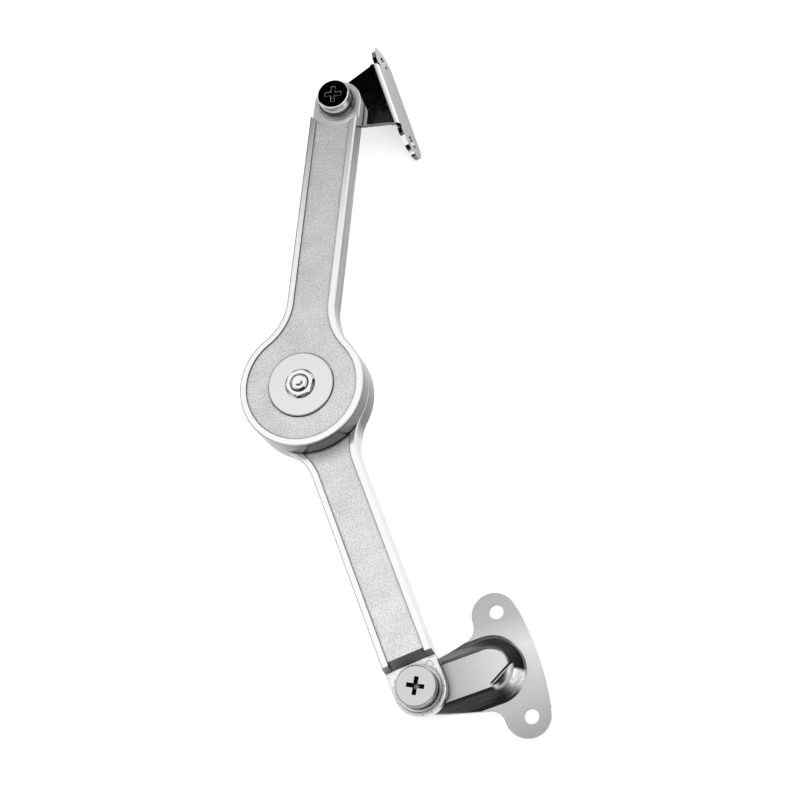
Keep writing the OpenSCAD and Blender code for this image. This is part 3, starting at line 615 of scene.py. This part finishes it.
def turned_metal(name, colour, gloss, centre, ring_depth_mm=0.003, recess_top=None, walls=None, uneven=0.3,
                 thread_below=None, corner_shade_mm=1.2):
    material, tree, place = new_material(name)
    about = node(tree, "ShaderNodeMapping", Vector=place, Location=(-centre[0], -centre[1], 0.0))
    wear = node(tree, "ShaderNodeTexNoise", Vector=place, Scale=1 / (WEAR_MM * MM), Detail=4.0)
    tone = node(tree, "ShaderNodeMix", BLEND, _0=wear, _6=colour[0], _7=colour[1])
    if walls is not None:
        tone = node(tree, "ShaderNodeMix", BLEND, _0=how_level(tree, 0.4, 0.8),
                    _6=marked_walls(tree, place, walls), _7=tone)
    if recess_top is not None:
        tone = paint_recess_shade(tree, about, tone, recess_top)
    # Painted shade darkens the inner corners of screws, nuts and washers
    tone = node(tree, "ShaderNodeMix", TINT, _0=1.0, _6=tone, _7=painted_corner_shade(tree, open_air(tree, corner_shade_mm)))
    rings = node(tree, "ShaderNodeTexWave", {"wave_type": "RINGS", "rings_direction": "Z"}, Vector=about,
                 Scale=RING_SCALE, Distortion=0.6, Detail=1.0)
    rough = node(tree, "ShaderNodeMapRange", Value=wear, From_Min=0.3, From_Max=0.7,
                 To_Min=gloss * (1 - uneven), To_Max=gloss * (1 + uneven))
    bump = node(tree, "ShaderNodeBump", Height=rings, Strength=1.0, Distance=ring_depth_mm * MM,
                Normal=turned_edge(tree, TURNED_EDGE_MM))
    if thread_below is not None:
        bump = threaded(tree, about, bump, thread_below)
    shader = node(tree, "ShaderNodeBsdfPrincipled", Base_Color=tone, Metallic=1.0, Roughness=rough,
                  Normal=bump)
    node(tree, "ShaderNodeOutputMaterial", Surface=shader)
    return material


print("turning rings are drawn", RING_MM, "mm apart")

# %% Finishes round the three axes
CABINET_PIVOT = (-27.6 * MM, 0.0)
LID_PIVOT = (6.2395 * MM, 191.9134 * MM)
NICKEL = ("#C8C8C9", "#D0D0D1")
ZINC = ("#C6C6C8", "#DADADB")
SPRING = ("#8E8E92", "#B4B4B8")
# Pairs of painted reflection tones for the walls of screws, nuts and washers, with tool marks between
DIM_WALL_REFLECTIONS = ("#303032", "#C4C4C6")
BRIGHT_WALL_REFLECTIONS = ("#5A5A5C", "#F4F4F5")
screw_low = turned_metal("nickel_screw_cabinet", NICKEL, 0.22, CABINET_PIVOT, recess_top=17.8,
                         walls=DIM_WALL_REFLECTIONS, thread_below=8.0)
screw_top = turned_metal("nickel_screw_lid", ("#DEDEDF", "#EAEAEB"), 0.04, LID_PIVOT, 0.0005,
                         recess_top=26.05, walls=BRIGHT_WALL_REFLECTIONS, thread_below=15.5)
elbow_nut = turned_metal("nickel_nut_elbow", ("#E6E6E7", "#F2F2F3"), 0.14, ELBOW)
zinc_low = turned_metal("zinc_washers_cabinet", ZINC, 0.2, CABINET_PIVOT, walls=DIM_WALL_REFLECTIONS)
zinc_top = turned_metal("zinc_washers_lid", ZINC, 0.12, LID_PIVOT, walls=BRIGHT_WALL_REFLECTIONS)
zinc_elbow = turned_metal("zinc_washers_elbow", ZINC, 0.2, ELBOW)
spring_low = turned_metal("spring_steel_cabinet", SPRING, 0.26, CABINET_PIVOT, walls=DIM_WALL_REFLECTIONS)
# The lid's split washer has its own, darker pair of painted reflection tones on its walls
spring_top = turned_metal("spring_steel_lid", SPRING, 0.18, LID_PIVOT, walls=("#242426", "#9C9C9E"))
spring_elbow = turned_metal("spring_steel_elbow", SPRING, 0.3, ELBOW)
satin_disc = turned_metal("satin_pressure_washer", ("#EAEAEB", "#ECECED"), 0.3, ELBOW, 0.001, uneven=0.04,
                          corner_shade_mm=0.3)
turned_finishes = [screw_low, screw_top, elbow_nut, zinc_low, zinc_top, zinc_elbow, spring_low, spring_top,
                   spring_elbow, satin_disc]
print("turned finishes:", len(turned_finishes))

# %% [markdown]
# ## Bushes, nylon and lining
# Sintered bronze is pressed from powder, so it is a dull, finely pored metal. The thrust washers are
# white nylon, which light enters a little way. The friction lining is pressed fibre, brown and matt,
# with short pale fibres in it.

# %% Bronze
def powder_bronze(name):
    material, tree, place = new_material(name)
    pores = node(tree, "ShaderNodeTexVoronoi", Vector=place, Scale=1 / (0.35 * MM))
    tone = node(tree, "ShaderNodeMix", BLEND, _0=pores, _6="#8A6A3A", _7="#C9A263")
    bump = node(tree, "ShaderNodeBump", Height=pores, Strength=0.4, Distance=0.03 * MM)
    shader = node(tree, "ShaderNodeBsdfPrincipled", Base_Color=tone, Metallic=1.0, Roughness=0.42,
                  Normal=bump)
    node(tree, "ShaderNodeOutputMaterial", Surface=shader)
    return material


bronze = powder_bronze("sintered_bronze")
print("made", bronze.name)

# %% Nylon and lining
def moulded_nylon(name):
    material, tree, place = new_material(name)
    cloud = node(tree, "ShaderNodeTexNoise", Vector=place, Scale=1 / (1.5 * MM), Detail=3.0)
    tone = node(tree, "ShaderNodeMix", BLEND, _0=cloud, _6="#D9D7D0", _7="#ECEAE4")
    shader = node(tree, "ShaderNodeBsdfPrincipled", Base_Color=tone, IOR=1.53, Roughness=0.38,
                  Subsurface_Weight=0.1, Subsurface_Scale=0.4 * MM)
    node(tree, "ShaderNodeOutputMaterial", Surface=shader)
    return material


def pressed_fibre(name):
    material, tree, place = new_material(name)
    fibres = node(tree, "ShaderNodeTexNoise", Vector=place, Scale=1 / (0.4 * MM), Detail=5.0, Distortion=2.0)
    tone = node(tree, "ShaderNodeMix", BLEND, _0=fibres, _6="#4A382B", _7="#8A7560")
    bump = node(tree, "ShaderNodeBump", Height=fibres, Strength=0.5, Distance=0.04 * MM)
    shader = node(tree, "ShaderNodeBsdfPrincipled", Base_Color=tone, IOR=1.5, Roughness=0.85, Normal=bump)
    node(tree, "ShaderNodeOutputMaterial", Surface=shader)
    return material


nylon = moulded_nylon("moulded_nylon")
lining = pressed_fibre("pressed_fibre_lining")
print("made", nylon.name, "and", lining.name)

# %% [markdown]
# ## Every part gets its finish
# A part that comes from the model keeps its mesh, and only the material in its slots changes.

# %% Dress the parts
FINISH = {
    "cabinet_bracket": drawn_sheet, "lid_bracket": folded_sheet,
    "cabinet_pivot_screw": screw_low, "lid_pivot_screw": screw_top, "centre_nut": elbow_nut,
    "centre_bolt": elbow_nut,
    "cabinet_pivot_nut": zinc_low, "cabinet_head_washer": zinc_low, "cabinet_split_washer": spring_low,
    "lid_pivot_nut": zinc_top, "lid_head_washer": zinc_top, "lid_split_washer": spring_top,
    "cabinet_thrust_washer": nylon, "lid_thrust_washer": nylon,
    "lower_arm": lower_casting, "upper_arm": upper_casting,
    "cabinet_pivot_bush": bronze, "lid_pivot_bush": bronze, "elbow_bush": bronze,
    "lower_lining": lining, "upper_lining": lining,
    "friction_plate": zinc_elbow, "seat_washer": zinc_elbow, "rear_washer": zinc_elbow,
    "inner_disc_spring": spring_elbow, "outer_disc_spring": spring_elbow,
    "pressure_washer": satin_disc,
}
for part, finish in FINISH.items():
    for slot in nodes[part].material_slots:
        slot.material = finish
print("dressed", len(FINISH), "of", len(nodes))

# %% [markdown]
# ## The floor
# The stay lies on white card. The card glows a little, for the camera and for mirrors alone, so that
# it reads as white while it keeps the shadow under the stay.

# %% Floor
CARD_GLOW = 0.38
FLOOR_DROP_MM = 0.05


def white_card():
    material, tree, place = new_material("white_card")
    paper = node(tree, "ShaderNodeTexNoise", Vector=place, Scale=1 / (2.0 * MM), Detail=2.0)
    tone = node(tree, "ShaderNodeMix", BLEND, _0=paper, _6="#E9E9E9", _7="#EDEDED")
    path = node(tree, "ShaderNodeLightPath")
    seen = node(tree, "ShaderNodeMath", {"operation": "ADD"}, _0=path.outputs["Is Camera Ray"],
                _1=path.outputs["Is Glossy Ray"])
    seen = node(tree, "ShaderNodeMath", {"operation": "ADD", "use_clamp": True}, _0=seen,
                _1=path.outputs["Is Transmission Ray"])
    glow = node(tree, "ShaderNodeEmission",
                Strength=node(tree, "ShaderNodeMath", PRODUCT, _0=seen, _1=CARD_GLOW))
    card = node(tree, "ShaderNodeBsdfDiffuse", Color=tone)
    node(tree, "ShaderNodeOutputMaterial", Surface=node(tree, "ShaderNodeAddShader", _0=card, _1=glow))
    return material


floor_mesh = bpy.data.meshes.new("floor")
floor_shape = bmesh.new()
bmesh.ops.create_grid(floor_shape, x_segments=1, y_segments=1, size=3.0)
bmesh.ops.translate(floor_shape, verts=floor_shape.verts, vec=(0.0, 0.0, cad_box[0][2] - FLOOR_DROP_MM * MM))
floor_shape.to_mesh(floor_mesh)
floor_shape.free()
floor = bpy.data.objects.new("floor", floor_mesh)
floor.data.materials.append(white_card())
bpy.context.scene.collection.objects.link(floor)
print("floor at", round(cad_box[0][2] / MM, 2), "mm")

# %% [markdown]
# ## The lamp
# Chrome looks like what stands round it, so the lighting is chosen for its reflections. One broad
# softbox hangs overhead: the flat faces of the arms, nose and plates mirror it. Beyond its far edge
# the room is dark, and the lid's screw head and ear mirror that, which makes them nearly black.

# %% Softbox
# The far edge is at y = 0.78 m, just where the lid's screw head and ear stop seeing it
SOFTBOX_AT, SOFTBOX_AIM = (0.0, 0.08, 1.0), (0.0, 0.08, 0.0)
SOFTBOX_WIDE, SOFTBOX_DEEP = 1.8, 1.4
SOFTBOX_WATTS = 8.7

lamp = bpy.data.lights.new("overhead_softbox", "AREA")
lamp.shape = "RECTANGLE"
lamp.size, lamp.size_y = SOFTBOX_WIDE, SOFTBOX_DEEP
lamp.energy = SOFTBOX_WATTS
softbox = bpy.data.objects.new("overhead_softbox", lamp)
softbox.location = SOFTBOX_AT
softbox.rotation_euler = (Vector(SOFTBOX_AIM) - Vector(SOFTBOX_AT)).to_track_quat("-Z", "Y").to_euler()
bpy.context.scene.collection.objects.link(softbox)

# %% [markdown]
# ## The room
# The other true reflections come from the world. It is built from four soft bands by direction: a
# white wall to the right and a dim one behind the lid end, both some 40 degrees high, a dim low one
# in front of the lower end, and a white horizon all round. Where bands meet, the brighter one shows.
# Diffuse rays see an even grey-white instead, so that the bands act in mirrors alone, and the camera
# sees plain white.

# %% Bands of the room
world = bpy.data.worlds.new("studio")
bpy.context.scene.world = world
world.use_nodes = True
room = world.node_tree
room.nodes.clear()
heading = node(room, "ShaderNodeSeparateXYZ", Vector=node(room, "ShaderNodeTexCoord").outputs["Generated"])
# Each band's brightness, between two bearings from +X, or between two shares of a direction's Z or Y
RIGHT = {"From_Min": math.radians(48), "From_Max": math.radians(60), "To_Min": 0.85, "To_Max": 0.01}
RIGHT_TOP = {"From_Min": 0.55, "From_Max": 0.7, "To_Min": 1.0, "To_Max": 0.01}
BACK_LOW = {"From_Min": 0.5, "From_Max": 0.75, "To_Min": 0.22, "To_Max": 0.0}
BEHIND = {"From_Min": 0.0, "From_Max": 0.3}
FRONT_LOW = {"From_Min": 0.2, "From_Max": 0.4, "To_Min": 0.35, "To_Max": 0.0}
BEFORE = {"From_Min": -0.3, "From_Max": 0.0, "To_Min": 1.0, "To_Max": 0.0}
HORIZON = {"From_Min": 0.08, "From_Max": 0.2, "To_Min": 1.0, "To_Max": 0.0}
sideways = node(room, "ShaderNodeMath", SIZE_ONLY, _0=heading.outputs["Y"])
bearing = node(room, "ShaderNodeMath", {"operation": "ARCTAN2"}, _0=sideways, _1=heading.outputs["X"])
up, forth = heading.outputs["Z"], heading.outputs["Y"]
white_wall = node(room, "ShaderNodeMath", PRODUCT,
                  _0=node(room, "ShaderNodeMapRange", SMOOTH, Value=bearing, **RIGHT),
                  _1=node(room, "ShaderNodeMapRange", SMOOTH, Value=up, **RIGHT_TOP))
walls = node(room, "ShaderNodeMath", LARGER, _0=white_wall,
             _1=node(room, "ShaderNodeMapRange", SMOOTH, Value=up, **HORIZON))
for low, where in ((FRONT_LOW, BEFORE), (BACK_LOW, BEHIND)):
    dim_wall = node(room, "ShaderNodeMath", PRODUCT,
                    _0=node(room, "ShaderNodeMapRange", SMOOTH, Value=up, **low),
                    _1=node(room, "ShaderNodeMapRange", Value=forth, **where))
    walls = node(room, "ShaderNodeMath", LARGER, _0=walls, _1=dim_wall)
print("nodes in the room so far:", len(room.nodes))

# %% What each kind of ray sees
FLOAT_MIX = {"data_type": "FLOAT"}
DIFFUSE_SEES, CAMERA_SEES = 0.8, 1.0
rays = node(room, "ShaderNodeLightPath")
mirrored = node(room, "ShaderNodeMix", FLOAT_MIX, _0=rays.outputs["Is Diffuse Ray"], _2=walls,
                _3=DIFFUSE_SEES)
seen = node(room, "ShaderNodeMix", FLOAT_MIX, _0=rays.outputs["Is Camera Ray"], _2=mirrored,
            _3=CAMERA_SEES)
sky = node(room, "ShaderNodeBackground", Color="#FFFFFF", Strength=seen)
node(room, "ShaderNodeOutputWorld", Surface=sky)
print("the camera sees the world at", CAMERA_SEES)
